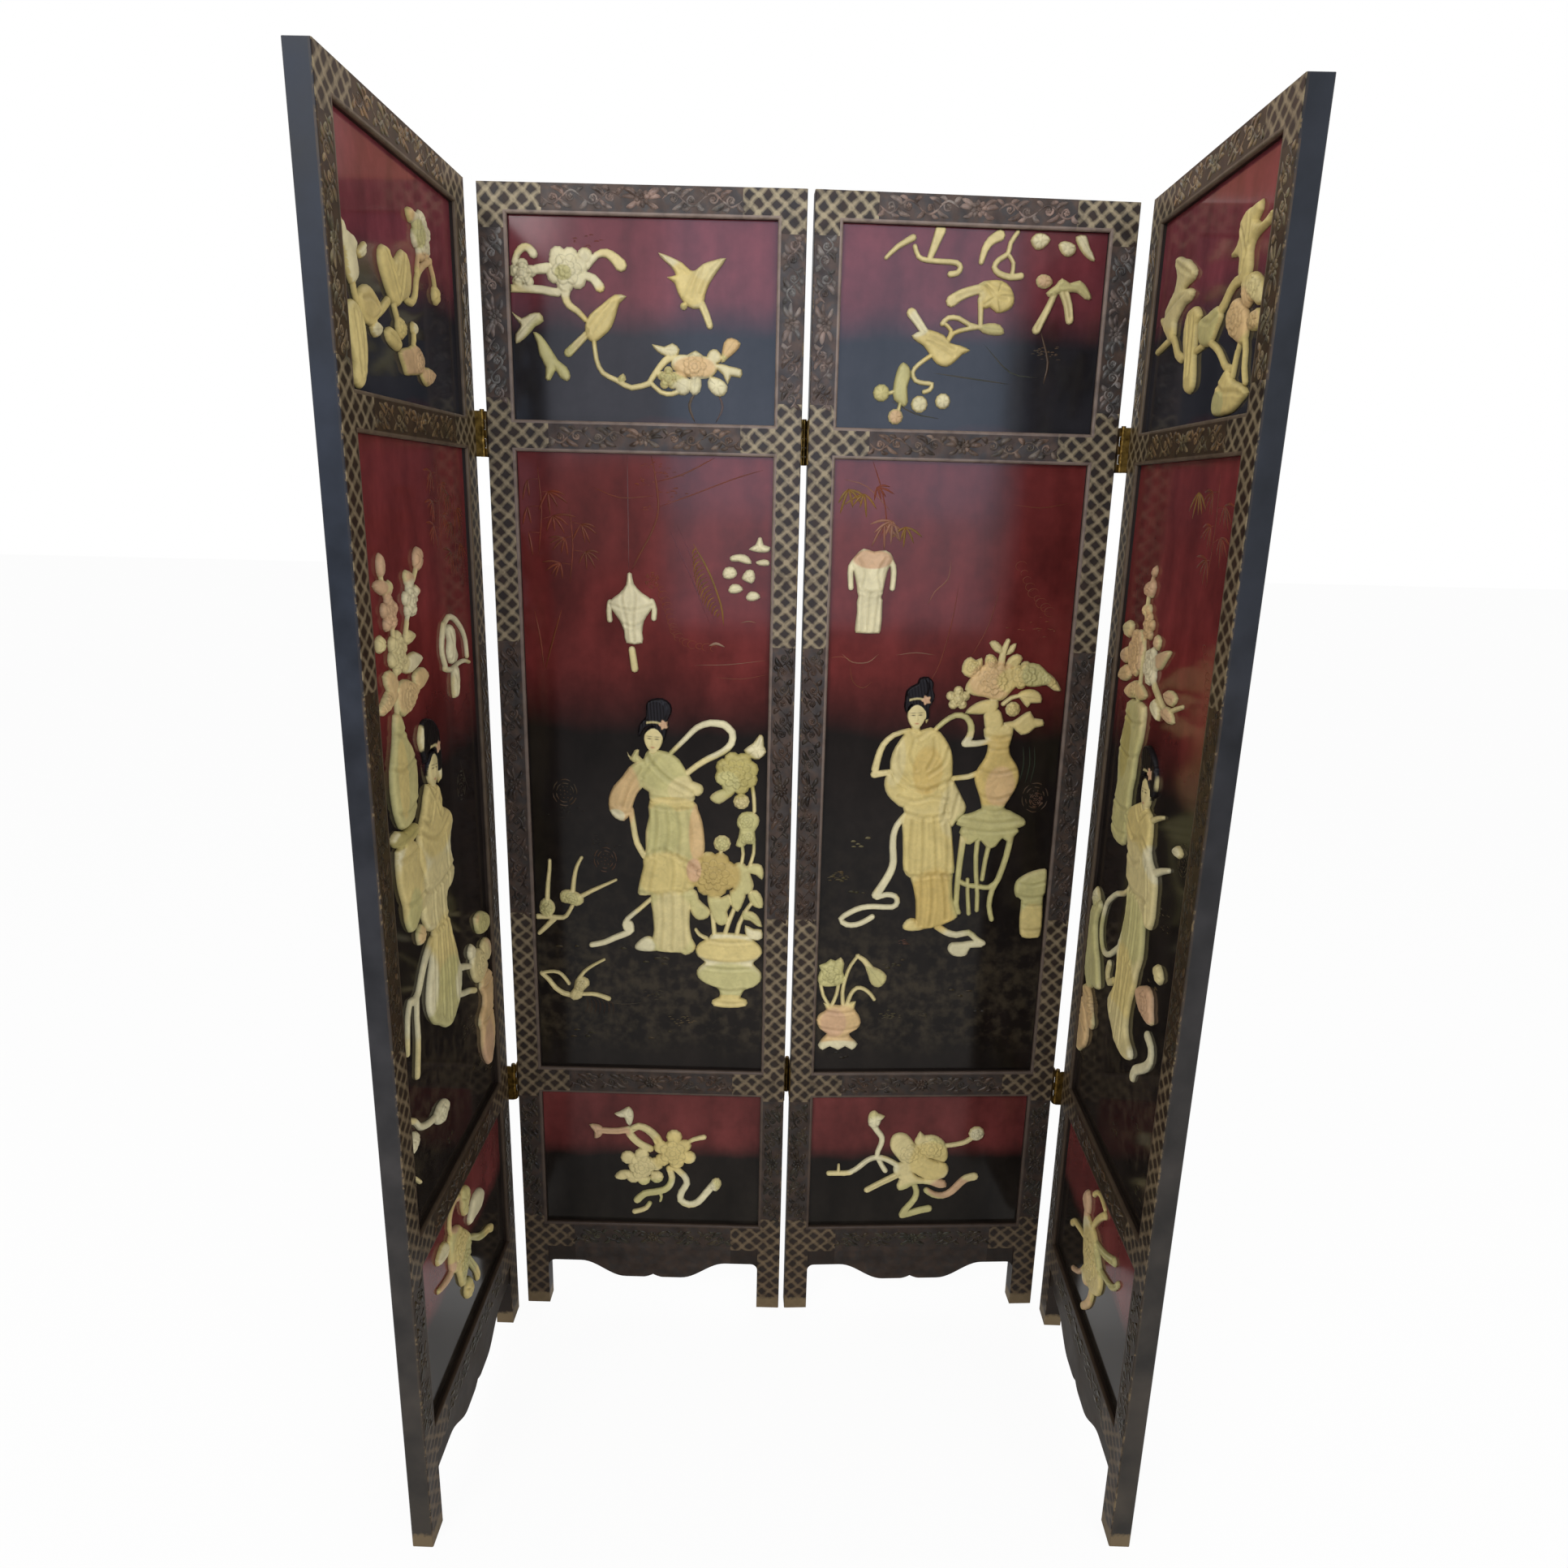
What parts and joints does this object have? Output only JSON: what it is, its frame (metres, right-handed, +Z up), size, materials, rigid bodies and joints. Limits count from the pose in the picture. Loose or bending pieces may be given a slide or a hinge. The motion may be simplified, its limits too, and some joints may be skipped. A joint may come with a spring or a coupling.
{
  "type": "folding screen",
  "caption": "Free-standing folding lacquer screen with hinged leaves, scalloped aprons and carved soapstone figures, birds and flowers set into its windows.",
  "frame": {"origin": "on the floor, under the middle of the whole screen as it stands", "axes": "+Z up, -Y towards the viewer of the carved side, +X to that viewer's right along the two middle leaves"},
  "size_m": [1.0238, 0.4978, 1.83],
  "materials": {
    "black_lacquer": "semi-gloss black-brown lacquer with worn gilt lattice",
    "red_lacquer": "semi-gloss lacquer, red at the top fading to black",
    "soapstone": "smooth, waxed",
    "brass": "aged"
  },
  "bodies": {
    "leaf_1": {"left_stile_1": "black_lacquer", "right_stile_1": "black_lacquer", "top_rail_1": "black_lacquer", "upper_rail_1": "black_lacquer", "lower_rail_1": "black_lacquer", "bottom_rail_1": "black_lacquer", "apron_1": "black_lacquer", "upper_board_1": "red_lacquer", "middle_board_1": "red_lacquer", "lower_board_1": "red_lacquer", "upper_carving_1": "soapstone", "middle_carving_1": "soapstone", "lower_carving_1": "soapstone", "hinge_plates_1": "brass"},
    "leaf_2": {"left_stile_2": "black_lacquer", "right_stile_2": "black_lacquer", "top_rail_2": "black_lacquer", "upper_rail_2": "black_lacquer", "lower_rail_2": "black_lacquer", "bottom_rail_2": "black_lacquer", "apron_2": "black_lacquer", "upper_board_2": "red_lacquer", "middle_board_2": "red_lacquer", "lower_board_2": "red_lacquer", "upper_carving_2": "soapstone", "middle_carving_2": "soapstone", "lower_carving_2": "soapstone", "hinge_plates_2": "brass", "hinge_pins_2": "brass"},
    "leaf_3": {"left_stile_3": "black_lacquer", "right_stile_3": "black_lacquer", "top_rail_3": "black_lacquer", "upper_rail_3": "black_lacquer", "lower_rail_3": "black_lacquer", "bottom_rail_3": "black_lacquer", "apron_3": "black_lacquer", "upper_board_3": "red_lacquer", "middle_board_3": "red_lacquer", "lower_board_3": "red_lacquer", "upper_carving_3": "soapstone", "middle_carving_3": "soapstone", "lower_carving_3": "soapstone", "hinge_plates_3": "brass", "hinge_pins_3": "brass"},
    "leaf_4": {"left_stile_4": "black_lacquer", "right_stile_4": "black_lacquer", "top_rail_4": "black_lacquer", "upper_rail_4": "black_lacquer", "lower_rail_4": "black_lacquer", "bottom_rail_4": "black_lacquer", "apron_4": "black_lacquer", "upper_board_4": "red_lacquer", "middle_board_4": "red_lacquer", "lower_board_4": "red_lacquer", "upper_carving_4": "soapstone", "middle_carving_4": "soapstone", "lower_carving_4": "soapstone", "hinge_plates_4": "brass"}
  },
  "joints": [
    {"name": "left_wing_hinge", "type": "hinge", "parent": "leaf_2", "child": "leaf_1", "pos_m": [-0.45434, 0.21112, 0.9], "axis": [0, 0, 1], "range_deg": [-89.3, 90.7]},
    {"name": "middle_hinge", "type": "hinge", "parent": "leaf_2", "child": "leaf_3", "pos_m": [0.00988, 0.24396, 0.9], "axis": [0, 0, 1], "range_deg": [-3.5, 176.5]},
    {"name": "right_wing_hinge", "type": "hinge", "parent": "leaf_3", "child": "leaf_4", "pos_m": [0.4741, 0.21112, 0.9], "axis": [0, 0, -1], "range_deg": [-93.9, 86.1]}
  ]
}
